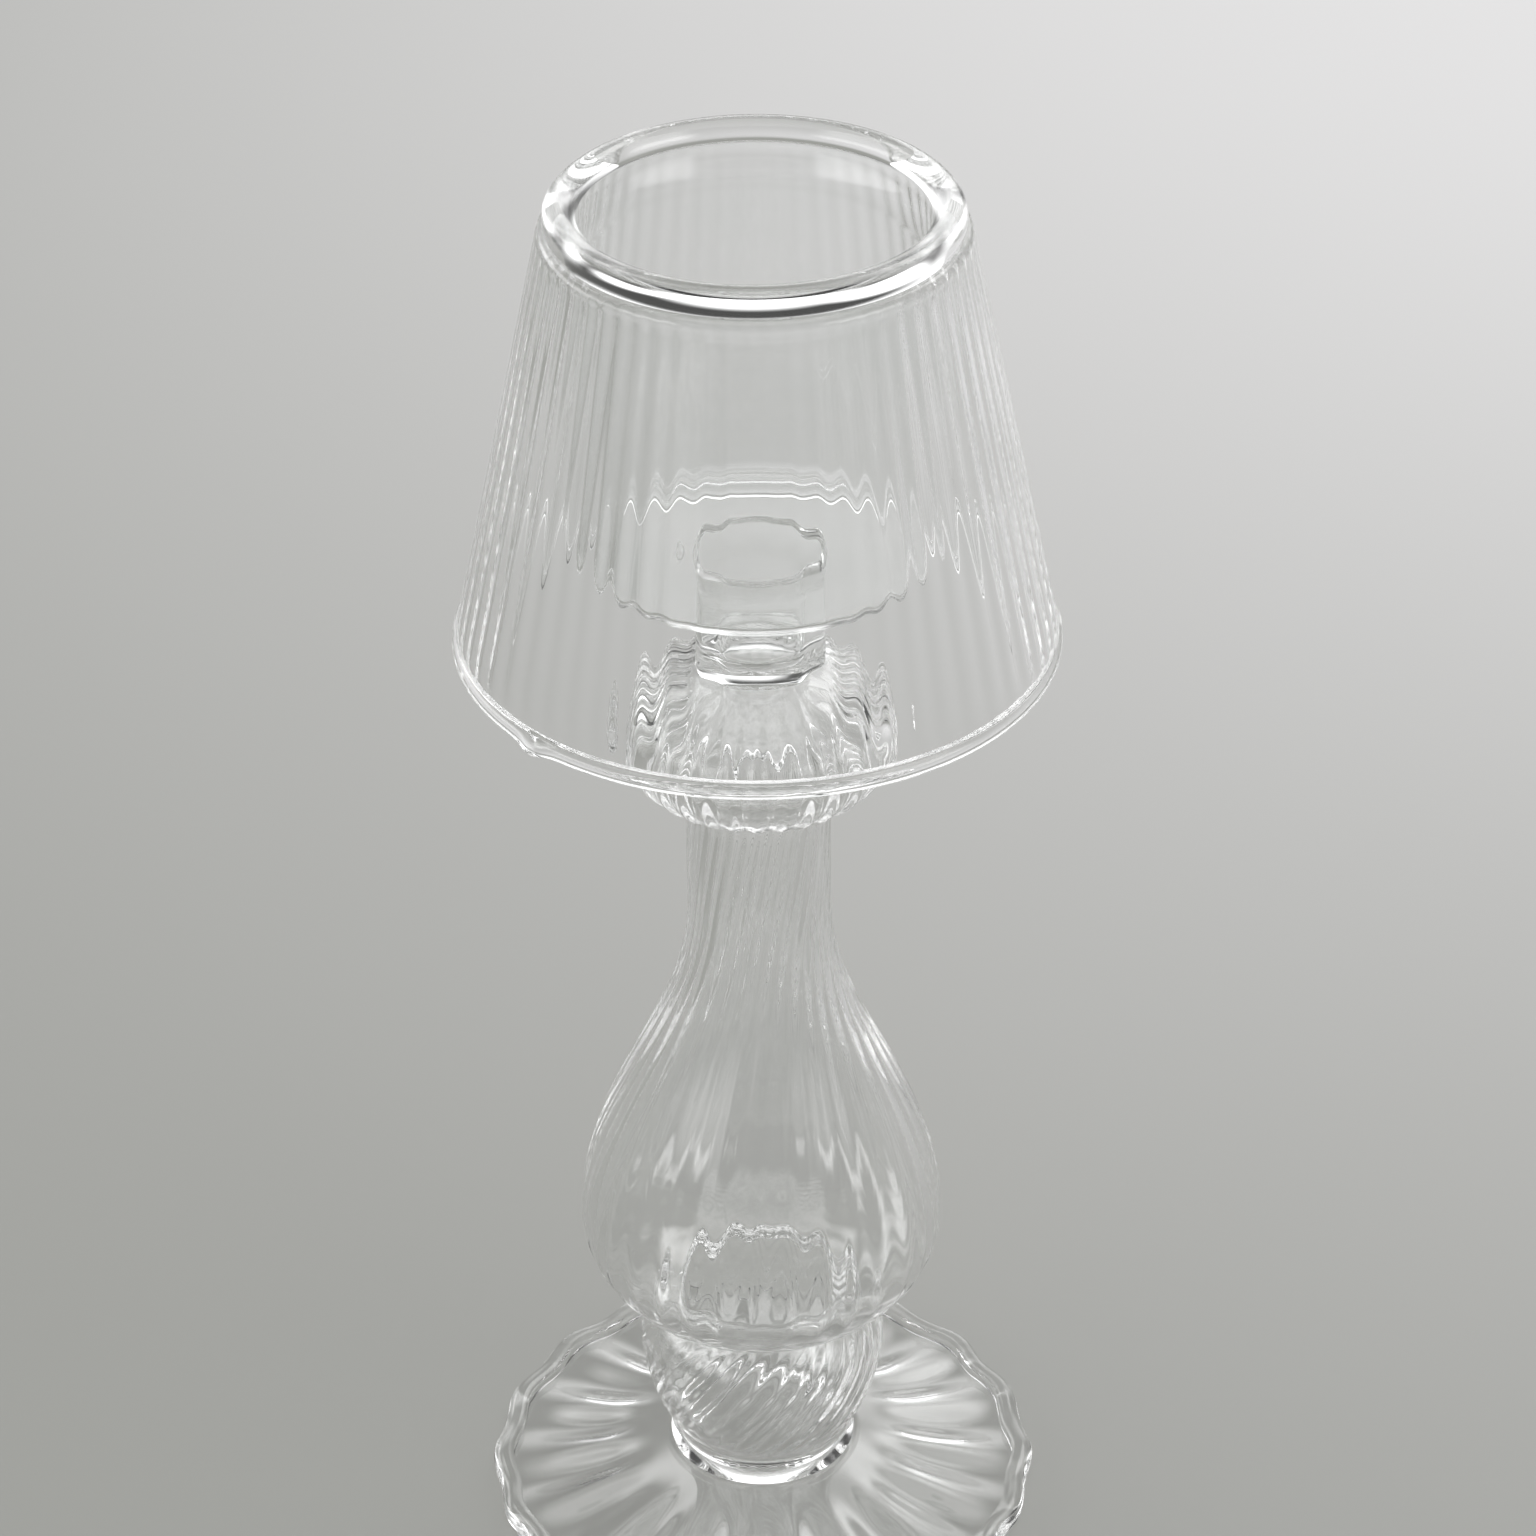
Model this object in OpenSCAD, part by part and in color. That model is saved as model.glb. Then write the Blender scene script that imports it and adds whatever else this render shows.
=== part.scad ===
// Tea light holder in clear blown glass, shaped like a small table lamp.
// A fluted foot carries a ribbed baluster, and a double-walled shade on top holds the tea light.
// Millimetres, +Z up, with the origin on the table under the centre of the foot.

/* [Foot] */
// Diameter over the crests of the scalloped rim
foot_d = 85.2; // [74:0.2:110]
// Height of the foot's flat centre above the table
foot_rise = 7.6; // [6:0.2:14]
// Thickness of the foot
foot_wall = 1.8; // [1.2:0.1:2.4]
// How far the rolled rim stands proud of the foot's two faces
rim_swell = 1.0; // [0.8:0.1:1.4]
// Number of flutes round the foot
flute_count = 18; // [12:1:24]
// Height of a flute above the mean surface, at its fullest
flute_depth = 0.5; // [0.3:0.1:1.0]
// How far the rim's scallops swing in and out
scallop_depth = 0.4; // [0.2:0.1:1.2]

/* [Seal ring] */
// Height of the ring that seals the baluster to the foot
seal_h = 3.0; // [2:0.2:6]
// How far the seal ring stands out from the base of the lower bulb
seal_lap = 1.5; // [0.8:0.1:3]

/* [Baluster] */
// Wall of the blown tube
tube_wall = 1.8; // [1.4:0.1:2.2]
// Number of ribs round the tube
rib_count = 32; // [24:2:36]
// How far a rib swings in and out where the tube is widest
rib_depth = 0.18; // [0.1:0.02:0.5]
// Diameter at the base of the lower bulb
bulb_base_d = 25.8; // [22:0.2:30]
// Diameter of the lower bulb at its widest
bulb_d = 37.6; // [34:0.2:44]
// Height from the base of the lower bulb to its widest place
bulb_rise = 17.5; // [12:0.5:24]
// Height from the widest place of the lower bulb to the waist
bulb_fall = 7.4; // [6:0.2:14]
// Turn of the ribs over the lower bulb, in degrees
bulb_twist = 64; // [0:2:90]
// Height over which the ribs come up out of the smooth base of the lower bulb
bulb_smooth_h = 9; // [3:0.5:12]
// Diameter of the waist, where the lower bulb meets the pear
waist_d = 28.4; // [22:0.2:30]
// Diameter of the pear at its widest
pear_d = 54.8; // [48:0.2:64]
// Height from the waist to the widest place of the pear
pear_rise = 15.6; // [12:0.2:24]
// Height over which the pear narrows to the neck
shoulder_h = 56.5; // [44:0.5:70]
// Diameter of the neck
neck_d = 21.0; // [18:0.2:26]
// Height of the straight neck
neck_h = 19.1; // [10:0.1:30]
// Turn of the ribs from the waist to the top of the neck, in degrees
pear_twist = 44; // [0:2:70]

/* [Knob] */
// Diameter of the knob at its widest
knob_d = 40.8; // [36:0.2:50]
// Height from the neck to the widest place of the knob
knob_rise = 10.3; // [8:0.1:16]
// Height from the widest place of the knob to the stem
knob_fall = 12.1; // [8:0.1:16]
// Wall of the knob, where the tube was gathered up
knob_wall = 3.0; // [2:0.1:4]

/* [Stem] */
// Diameter of the short hollow stem under the cup
stem_d = 17.8; // [15:0.2:22]
// Height of the stem
stem_h = 16.9; // [12:0.1:26]
// Wall of the stem
stem_wall = 1.7; // [1.2:0.1:2.4]
// Thickness of the stem's closed bottom
stem_floor = 1.3; // [1:0.1:3]
// How far the stem swells out where it meets the cup's floor
stem_swell = 1.1; // [0.4:0.1:1.6]
// Height over which the stem swells out
stem_swell_h = 5; // [3:0.2:7]

/* [Candle cup] */
// Bore of the cup, which takes a standard tea light with room to lift it out
cup_bore_d = 45; // [41:0.5:46.5]
// Wall of the cup
cup_wall = 1.8; // [1.2:0.1:2.2]
// Thickness of the cup's floor
cup_floor = 1.2; // [1:0.1:4]
// Height of the cup from the underside of its floor to the lip
cup_h = 50.4; // [40:0.2:60]
// Outside radius of the cup's bottom corner
cup_corner = 2.4; // [2.4:0.1:5]
// Height over which the cup flares out to meet the lip
flare_h = 6; // [4:0.5:10]

/* [Rolled lip] */
// Outside diameter of the lip
lip_d = 56.8; // [55:0.2:64]
// Thickness of the rolled bead
lip_bead_d = 4.6; // [4:0.1:6]
// Height of the bead's centre above the two walls that it joins
lip_sink = 1.3; // [1:0.1:1.5]
// Crevice between the cup and the shade, under the lip
crevice = 0.4; // [0.2:0.1:0.8]

/* [Shade] */
// Outside diameter at the bottom of the shade, without its ribs
shade_d = 84.4; // [78:0.2:100]
// Height of the shade from its bottom edge to the lip
shade_h = 61.8; // [45:0.2:64]
// Wall of the shade, without its ribs
shade_wall = 1.5; // [1.2:0.1:1.8]
// How far the shade's shoulder stands out from the lip's seat
shoulder_out = 1.4; // [1:0.1:3]
// Height of the rounded shoulder
shoulder_fall = 1.8; // [1.2:0.1:4]
// Number of ribs round the shade
shade_ribs = 60; // [48:4:72]
// How far a rib swings in and out
shade_rib_depth = 0.1; // [0.1:0.05:0.5]

/* [Shade edge] */
// How far the fire-polished bead stands proud of the shade's wall
edge_swell = 0.6; // [0.4:0.1:1]
// Diameter of the drop that is left on the bead
drop_d = 3.2; // [2.4:0.1:4]
// Place of the drop round the shade, in degrees from +X
drop_angle = 224; // [0:1:359]

/* [Hidden] */
$fn = 96;
clear_glass = [0.86, 0.90, 0.88, 0.45];
// Points round each rib, and round each of the wider flutes
per_rib = 4;
per_flute = 6;
// Overlap of a cutting shape past the face that it opens
past = 1;

// Foot: the skirt falls from a flat centre to the rim, and its flutes die down at the rim
flute_sweep = 153;
skirt_fall = 1.6;
skirt_steps = 4;
table_gap = 0.2;
rim_lift = flute_depth * sin(flute_sweep);
rim_bead_r = foot_wall / 2 + rim_swell;
rim_r = foot_d / 2 - scallop_depth - rim_bead_r;
rim_z = foot_wall / 2 + rim_lift + table_gap;
rim_seat_half = foot_wall / 2 + rim_swell / 2;
rim_seat_in = sqrt(pow(rim_bead_r, 2) - pow(rim_seat_half, 2));
skirt_r = rim_r - rim_seat_in;
seal_r = bulb_base_d / 2 + seal_lap;
centre_r = seal_r + seal_lap / 4;

// Heights of the seams, from the table up
seal_z = foot_rise;
bulb_z = seal_z + seal_h;
waist_z = bulb_z + bulb_rise + bulb_fall;
neck_z = waist_z + pear_rise + shoulder_h;
knob_z = neck_z + neck_h;
stem_z = knob_z + knob_rise + knob_fall;
cup_z = stem_z + stem_h;
lip_z = cup_z + cup_h;
edge_z = lip_z - shade_h;

// Lip: its flat underside seats the cup on the inner half and the shade on the outer half
lip_r = (lip_d - lip_bead_d) / 2;
lip_seat_half = sqrt(pow(lip_bead_d / 2, 2) - pow(lip_sink, 2));
cup_top_in = lip_r - lip_seat_half;
cup_top_out = lip_r - crevice / 2;
shade_top_in = lip_r + crevice / 2;
shade_top_out = lip_r + lip_seat_half;
shade_top_r = shade_top_out + shoulder_out;

// Shade edge: a bead as wide as the wall with its ribs, and a little more
edge_wall = shade_wall + shade_rib_depth;
edge_bead_r = edge_wall / 2 + edge_swell;
edge_seat_half = edge_wall / 2 + edge_swell / 4;
edge_sink = sqrt(pow(edge_bead_r, 2) - pow(edge_seat_half, 2));
edge_r = shade_d / 2 + shade_rib_depth - edge_wall / 2;
drop_out = edge_bead_r / 2;
drop_down = edge_bead_r / 3;

// Ribs fade out over this height at both ends of a blown piece
rib_fade = 3;
arc_steps = 4;
shoulder_steps = 9;
neck_steps = 3;
bore_steps = 16;
cos_profile = function(t) (1 + cos(180 * t)) / 2;

// Outline of a swelling from the seam at its foot to the seam at its top, as [radius, height].
// Each half is an arc of an ellipse that stands upright at the widest place.
function half_angle(r_mid, r_end) = acos(r_end / r_mid);
function half_axis(r_mid, r_end, h) = h / sin(half_angle(r_mid, r_end));
function rising_arc(r_mid, r_end, h, steps) = [
    for (i = [0:steps])
        let (a = half_angle(r_mid, r_end) * (1 - i / steps))
        [r_mid * cos(a), h - half_axis(r_mid, r_end, h) * sin(a)]
];
function falling_arc(r_mid, r_end, h, steps) = [
    for (i = [1:steps])
        let (a = half_angle(r_mid, r_end) * i / steps)
        [r_mid * cos(a), half_axis(r_mid, r_end, h) * sin(a)]
];

// Radius inside a swelling, at a height above or below its widest place: one wall in from the
// ellipse, and never less than the bore of the tube that it joins.
function inner_r(r_mid, r_end, h, wall, bore, y) =
    let (axis = half_axis(r_mid, r_end, h) - wall)
    max(bore, (r_mid - wall) * sqrt(max(0, 1 - pow(y / axis, 2))));

// Moves an outline up
function raised(outline, z) = [for (p = outline) [p.x, p.y + z]];

// Share of their depth that the ribs have at a height between two seams, where they fade out
function rib_share(z, low, high, low_fade) = min(1, (z - low) / low_fade, (high - z) / rib_fade);

// Turn of the ribs up to point i of an outline: a thin part twists more than a thick one
function twist_sum(o, i) =
    i == 0 ? 0 : twist_sum(o, i - 1) + (o[i].y - o[i - 1].y) / pow((o[i].x + o[i - 1].x) / 2, 2);
function turns(o, twist) =
    let (whole = twist_sum(o, len(o) - 1))
    [for (i = [0:len(o) - 1]) twist * twist_sum(o, i) / whole];

// One ring of points. Each row is [radius, height, rib depth, turn, lift].
function wavy_ring(row, count, per) = [
    for (i = [0:count * per - 1])
        let (a = 360 * i / (count * per), wave = cos(count * a))
        [(row[0] + row[2] * wave) * cos(a + row[3]), (row[0] + row[2] * wave) * sin(a + row[3]),
         row[1] + row[4] * wave]
];
function band_faces(n, low, high) = [
    for (i = [0:n - 1])
        for (half = [0, 1])
            let (j = (i + 1) % n)
            half == 0 ? [low * n + i, high * n + i, low * n + j]
                      : [low * n + j, high * n + i, high * n + j]
];

// Solid body of rings with flat ends, from the lowest row to the highest or round a skirt
module ringed_solid(rows, count, per) {
    n = count * per;
    last = len(rows) - 1;
    points = [for (row = rows) each wavy_ring(row, count, per)];
    sides = [for (k = [0:last - 1]) each band_faces(n, k, k + 1)];
    ends = [[for (i = [0:n - 1]) i], [for (i = [n - 1:-1:0]) last * n + i]];
    polyhedron(points, concat(ends, sides));
}

// Hoop of rings, closed on itself
module ringed_hoop(rows, count, per) {
    n = count * per;
    m = len(rows);
    points = [for (row = rows) each wavy_ring(row, count, per)];
    polyhedron(points, [for (k = [0:m - 1]) each band_faces(n, k, (k + 1) % m)]);
}

// Ribbed outside of a blown piece whose outline runs from its low seam to its high seam. The
// ribs shrink with the tube, and come up out of the low seam over a height of low_fade.
module ribbed_body(outline, twist, low_fade) {
    low = outline[0].y;
    high = outline[len(outline) - 1].y;
    turn = turns(outline, twist);
    ringed_solid([
        for (i = [0:len(outline) - 1])
            let (width = outline[i].x / (pear_d / 2),
                 rib = rib_depth * width * rib_share(outline[i].y, low, high, low_fade))
            [outline[i].x - rib, outline[i].y, rib, turn[i], 0]
    ], rib_count, per_rib);
}

// Air space inside a blown piece: an outline turned about the axis and open at both ends
module air_space(outline) {
    first = outline[0];
    end = outline[len(outline) - 1];
    rotate_extrude()
        polygon(concat([[0, first.y - past], [first.x, first.y - past]], outline,
                       [[end.x, end.y + past], [0, end.y + past]]));
}

// Rolled rim of the foot, scalloped with the flutes and ground flat where it stands
module foot_rim() {
    sweep = acos(-rim_seat_in / rim_bead_r);
    steps = 6;
    rows = [
        for (j = [0:steps])
            let (a = -sweep + 2 * sweep * j / steps)
            [rim_r + rim_bead_r * cos(a), rim_z + rim_bead_r * sin(a), scallop_depth, 0, rim_lift]
    ];
    color(clear_glass)
        intersection() {
            ringed_hoop(rows, flute_count, per_flute);
            translate([-foot_d, -foot_d, 0])
                cube([2 * foot_d, 2 * foot_d, foot_rise + foot_d]);
        }
}

// Shallow fluted skirt of the foot, closed in the middle under the seal ring
module foot_disc() {
    edge_top = rim_z + foot_wall / 2;
    function skirt_row(s, drop) = [
        centre_r + (skirt_r - centre_r) * s,
        edge_top + (foot_rise - edge_top) * pow(1 - s, skirt_fall) - drop,
        scallop_depth * s, 0, flute_depth * sin(flute_sweep * s)
    ];
    under = [for (i = [0:skirt_steps]) skirt_row(i / skirt_steps, foot_wall)];
    over = [for (i = [0:skirt_steps]) skirt_row(1 - i / skirt_steps, 0)];
    color(clear_glass)
        ringed_solid(concat(under, over), flute_count, per_flute);
}

// Bead of glass that seals the lower bulb to the foot
module seal_ring() {
    bore_r = bulb_base_d / 2 - tube_wall;
    land_r = bulb_base_d / 2;
    steps = 6;
    color(clear_glass)
        rotate_extrude()
            polygon(concat(
                [[bore_r, bulb_z], [bore_r, seal_z]],
                [for (i = [0:steps])
                    let (a = 90 * i / steps)
                    [land_r + seal_lap * cos(a), seal_z + seal_h * sin(a)]]
            ));
}

// Squashed bulb at the bottom of the baluster, with its ribs twisted
module lower_bulb() {
    outline = raised(concat(
        rising_arc(bulb_d / 2, bulb_base_d / 2, bulb_rise, arc_steps),
        raised(falling_arc(bulb_d / 2, waist_d / 2, bulb_fall, arc_steps), bulb_rise)
    ), bulb_z);
    mid = bulb_z + bulb_rise;
    inside = [
        for (i = [0:bore_steps])
            let (y = -bulb_rise + (bulb_rise + bulb_fall) * i / bore_steps)
            [y < 0
                ? inner_r(bulb_d / 2, bulb_base_d / 2, bulb_rise, tube_wall,
                          bulb_base_d / 2 - tube_wall, y)
                : inner_r(bulb_d / 2, waist_d / 2, bulb_fall, tube_wall,
                          waist_d / 2 - tube_wall, y),
             mid + y]
    ];
    color(clear_glass)
        difference() {
            ribbed_body(outline, bulb_twist, bulb_smooth_h);
            air_space(inside);
        }
}

// Pear-shaped belly that narrows into the neck, blown in one piece
module pear_body() {
    mid = waist_z + pear_rise;
    function shoulder_r(y) =
        neck_d / 2 + (pear_d - neck_d) / 2 * cos_profile(min(1, y / shoulder_h));
    outline = raised(concat(
        rising_arc(pear_d / 2, waist_d / 2, pear_rise, arc_steps),
        [for (i = [1:shoulder_steps])
            [shoulder_r(shoulder_h * i / shoulder_steps),
             pear_rise + shoulder_h * i / shoulder_steps]],
        [for (i = [1:neck_steps])
            [neck_d / 2, pear_rise + shoulder_h + neck_h * i / neck_steps]]
    ), waist_z);
    belly_inside = [
        for (i = [0:bore_steps])
            let (y = -pear_rise * (1 - i / bore_steps))
            [inner_r(pear_d / 2, waist_d / 2, pear_rise, tube_wall, waist_d / 2 - tube_wall, y),
             mid + y]
    ];
    neck_inside = [
        for (i = [1:bore_steps])
            let (y = shoulder_h * i / bore_steps)
            [shoulder_r(y) - tube_wall, mid + y]
    ];
    color(clear_glass)
        difference() {
            ribbed_body(outline, pear_twist, rib_fade);
            air_space(concat(belly_inside, neck_inside,
                             [[neck_d / 2 - tube_wall, knob_z]]));
        }
}

// Flattened thick-walled knob between the neck and the stem, closed at its top
module knob() {
    outline = raised(concat(
        rising_arc(knob_d / 2, neck_d / 2, knob_rise, arc_steps),
        raised(falling_arc(knob_d / 2, stem_d / 2, knob_fall, arc_steps), knob_rise)
    ), knob_z);
    mid = knob_z + knob_rise;
    bore_r = neck_d / 2 - tube_wall;
    steps = bore_steps / 2;
    lower = [
        for (i = [0:steps])
            let (y = -knob_rise * (1 - i / steps))
            [inner_r(knob_d / 2, neck_d / 2, knob_rise, knob_wall, bore_r, y), mid + y]
    ];
    roof_h = half_axis(knob_d / 2, stem_d / 2, knob_fall) - knob_wall;
    roof = [
        for (i = [1:steps])
            let (a = 90 * i / steps)
            [(knob_d / 2 - knob_wall) * cos(a), mid + roof_h * sin(a)]
    ];
    color(clear_glass)
        difference() {
            ribbed_body(outline, 0, rib_fade);
            rotate_extrude()
                polygon(concat([[0, knob_z - past], [bore_r, knob_z - past]], lower, roof));
        }
}

// Short hollow stem between the knob and the cup, closed at its bottom and swollen at its top
module stem() {
    bore_r = stem_d / 2 - stem_wall;
    round_r = bore_r / 2;
    steps = 6;
    function swollen(r, t) =
        [r + stem_swell * (1 - cos_profile(t)), stem_h - stem_swell_h * (1 - t)];
    outside = [for (i = [0:steps]) swollen(stem_d / 2, i / steps)];
    inside = [for (i = [0:steps]) swollen(bore_r, 1 - i / steps)];
    bottom = [
        for (i = [0:steps])
            let (a = 90 * i / steps)
            [bore_r - round_r * (1 - cos(a)), stem_floor + round_r * (1 - sin(a))]
    ];
    color(clear_glass)
        translate([0, 0, stem_z])
            rotate_extrude()
                polygon(concat([[0, 0], [stem_d / 2, 0]], outside, inside, bottom,
                               [[0, stem_floor]]));
}

// Plain cup that hangs from the lip and holds the tea light
module candle_cup() {
    bore_r = cup_bore_d / 2;
    outer_r = bore_r + cup_wall;
    inner_corner = cup_corner - cup_wall;
    floor_z = cup_z + cup_floor;
    flare_z = lip_z - flare_h;
    steps = 6;
    outside = concat(
        [[0, cup_z]],
        [for (i = [0:steps])
            let (a = 90 * i / steps)
            [outer_r - cup_corner * (1 - sin(a)), cup_z + cup_corner * (1 - cos(a))]],
        [for (i = [0:steps])
            [cup_top_out + (outer_r - cup_top_out) * cos_profile(i / steps),
             flare_z + flare_h * i / steps]]
    );
    inside = concat(
        [for (i = [0:steps])
            [cup_top_in + (bore_r - cup_top_in) * cos_profile(1 - i / steps),
             lip_z - flare_h * i / steps]],
        [for (i = [0:steps])
            let (a = 90 * i / steps)
            [bore_r - inner_corner * (1 - cos(a)), floor_z + inner_corner * (1 - sin(a))]],
        [[0, floor_z]]
    );
    color(clear_glass)
        rotate_extrude()
            polygon(concat(outside, inside));
}

// Thick rolled lip that joins the cup to the shade
module rolled_lip() {
    color(clear_glass)
        rotate_extrude()
            intersection() {
                translate([lip_r, lip_z + lip_sink])
                    circle(d = lip_bead_d);
                translate([lip_r - lip_bead_d, lip_z])
                    square([2 * lip_bead_d, 2 * lip_bead_d]);
            }
}

// Straight-ribbed cone of the shade, cut square at the bottom and rounded under the lip
module shade_cone() {
    base_r = shade_d / 2;
    cone_top = lip_z - shoulder_fall;
    steps = 2;
    function cone_row(z) =
        let (t = (z - edge_z) / (cone_top - edge_z))
        [base_r + (shade_top_r - base_r) * t, z, shade_rib_depth, 0, 0];
    cone = [cone_row(edge_z - past / 2), cone_row(cone_top)];
    rounding = [
        for (i = [1:steps])
            let (a = 90 * i / steps, fade = shade_rib_depth * (1 - i / steps))
            [shade_top_out + shoulder_out * cos(a), cone_top + shoulder_fall * sin(a), fade, 0, 0]
    ];
    inside_top = shade_top_r - shade_wall;
    inside = [
        [base_r - shade_wall, edge_z],
        [inside_top, cone_top - shade_wall],
        [(inside_top + shade_top_in) / 2, lip_z - shade_wall],
        [shade_top_in, lip_z]
    ];
    color(clear_glass)
        difference() {
            ringed_solid(concat(cone, rounding), shade_ribs, per_rib);
            air_space(inside);
            translate([0, 0, edge_z - 2 * past])
                cylinder(h = 2 * past, r = shade_d);
        }
}

// Fire-polished bead round the bottom of the shade, with the drop that it was left with
module shade_edge() {
    bead_z = edge_z - edge_sink;
    color(clear_glass)
        union() {
            rotate_extrude()
                intersection() {
                    translate([edge_r, bead_z])
                        circle(r = edge_bead_r);
                    translate([edge_r - 2 * edge_bead_r, edge_z - 4 * edge_bead_r])
                        square(4 * edge_bead_r);
                }
            rotate([0, 0, drop_angle])
                translate([edge_r + drop_out, 0, bead_z - drop_down])
                    sphere(d = drop_d);
        }
}

foot_rim();
foot_disc();
seal_ring();
lower_bulb();
pear_body();
knob();
stem();
candle_cup();
rolled_lip();
shade_cone();
shade_edge();
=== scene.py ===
"""Looks of a clear blown-glass tea light holder, shaped like a small table lamp.

Each glass piece is a section drawn beside the axis and spun round it. The ribs and flutes are then
pressed into the spun wall. All sizes are in metres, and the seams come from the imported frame.
"""

import math

import bpy
import numpy as np
from bpy.props import FloatProperty, FloatVectorProperty, IntProperty, PointerProperty
from bpy.types import Operator, Panel, PropertyGroup
from mathutils import Matrix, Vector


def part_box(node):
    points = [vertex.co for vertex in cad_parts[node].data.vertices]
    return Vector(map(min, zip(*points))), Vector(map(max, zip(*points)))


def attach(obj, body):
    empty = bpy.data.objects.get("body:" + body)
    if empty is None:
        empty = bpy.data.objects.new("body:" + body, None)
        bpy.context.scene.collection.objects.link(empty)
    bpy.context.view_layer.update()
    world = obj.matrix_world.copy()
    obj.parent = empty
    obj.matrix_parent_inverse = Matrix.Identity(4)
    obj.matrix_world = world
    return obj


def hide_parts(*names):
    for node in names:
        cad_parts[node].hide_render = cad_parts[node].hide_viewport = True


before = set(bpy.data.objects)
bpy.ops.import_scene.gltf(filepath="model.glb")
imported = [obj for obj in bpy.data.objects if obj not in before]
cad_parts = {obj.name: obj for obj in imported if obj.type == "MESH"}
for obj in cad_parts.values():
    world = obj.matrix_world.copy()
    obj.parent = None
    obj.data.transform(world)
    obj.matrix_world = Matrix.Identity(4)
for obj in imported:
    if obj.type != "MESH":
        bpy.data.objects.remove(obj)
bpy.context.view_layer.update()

bl_info = {
    "name": "Tea light holder",
    "version": (1, 0, 0),
    "blender": (4, 5, 0),
    "location": "View3D > Sidebar > Tea light holder",
    "description": "Builds the glass of a lamp-shaped tea light holder round its packed frame",
    "category": "Object",
}

BODY = "root"
WHOLE_TURN = 2 * math.pi
# Points closer than this are one point
SAME_POINT = 1e-6
# A face whose middle is closer than this to a joint lies in it
SAME_PLACE = 1e-5
# Vertex group that holds how deep the ribs are
RIB_GROUP = "rib"


def low_z(node):
    """Height of a CAD node's lowest point."""
    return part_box(node)[0].z


def high_z(node):
    """Height of a CAD node's highest point."""
    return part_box(node)[1].z


def reach(node):
    """Radius of a CAD node at its widest, along +X."""
    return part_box(node)[1].x


def length(name, description, default):
    """A length in metres, for the sidebar."""
    return FloatProperty(name=name, description=description, default=default, min=0.0,
                         unit="LENGTH", subtype="DISTANCE", precision=4)


def turn(name, description, degrees):
    """An angle, for the sidebar."""
    return FloatProperty(name=name, description=description, default=math.radians(degrees),
                         unit="ROTATION", subtype="ANGLE")


def share(name, description, default):
    """A plain number, for the sidebar."""
    return FloatProperty(name=name, description=description, default=default)


def count(name, description, default):
    """A whole number, for the sidebar."""
    return IntProperty(name=name, description=description, default=default, min=1)


def colour(name, description, default):
    """A colour without alpha, for the sidebar."""
    return FloatVectorProperty(name=name, description=description, default=default,
                               subtype="COLOR", size=3, min=0.0, max=1.0)


class FootSizes(PropertyGroup):
    """Sizes of the fluted foot and the ring that seals the baluster to it."""
    wall: length("Wall", "Thickness of the foot", 0.0018)
    rim_bead: length("Rim bead", "Radius of the rolled rim's section", 0.0019)
    rim_seat: length("Rim seat", "How far inside the bead's centre the skirt ends", 0.001285)
    flutes: count("Flutes", "Number of flutes round the foot", 18)
    flute_depth: length("Flute depth", "Height of a flute at its fullest", 0.0005)
    flute_sweep: turn("Flute sweep", "Part of a wave that a flute goes through, centre to rim", 153)
    flute_start: share("Flute start", "Part of the skirt over which the flutes come up", 0.45)
    scallop: length("Scallop", "How far the rim swings in and out", 0.0004)
    skirt_fall: share("Skirt fall", "How fast the skirt falls near the centre", 1.6)
    seal_land: length("Seal land", "Radius of the bulb's base on the seal ring", 0.0129)


class BalusterSizes(PropertyGroup):
    """Sizes of the blown tube: lower bulb, pear and neck."""
    wall: length("Wall", "Thickness of the blown tube", 0.0018)
    ribs: count("Ribs", "Number of ribs round the tube", 32)
    rib_depth: length("Rib depth", "Depth of a rib on the neck, half of what it stands out",
                      0.00022)
    fade: length("Rib fade", "Height over which ribs die out at a seam", 0.003)
    belly_smooth: length("Belly smooth", "Height over which the pear's ribs come up at its base", 0.010)
    bulb_smooth: length("Bulb smooth", "Height over which the bulb's ribs come up at its base", 0.018)
    bulb_mid: length("Bulb middle", "Height of the bulb's widest place above its base", 0.0175)
    bulb_turn: turn("Bulb turn", "Turn of the ribs over the lower bulb", 64)
    waist: length("Waist", "Radius where the lower bulb meets the pear", 0.0142)
    pear_mid: length("Pear middle", "Height of the pear's widest place above the waist", 0.0156)
    shoulder: length("Shoulder", "Height over which the pear narrows to the neck", 0.0565)
    neck: length("Neck", "Radius of the neck", 0.0105)
    pear_turn: turn("Pear turn", "Turn of the ribs from the waist to the top of the neck", 44)


class KnobSizes(PropertyGroup):
    """Sizes of the flattened knob and the stem above it."""
    mid: length("Knob middle", "Height of the knob's widest place above the neck", 0.0103)
    wall: length("Knob wall", "Thickness of the knob", 0.003)
    rib_depth: length("Rib depth", "Depth of a rib, half of what it stands out", 0.00028)
    stem_wall: length("Stem wall", "Thickness of the stem", 0.0017)
    stem_floor: length("Stem floor", "Thickness of the stem's closed bottom", 0.0013)
    stem_swell: length("Stem swell", "How far the stem swells out at its top", 0.0011)
    swell_height: length("Swell height", "Height over which the stem swells out", 0.005)


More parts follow.
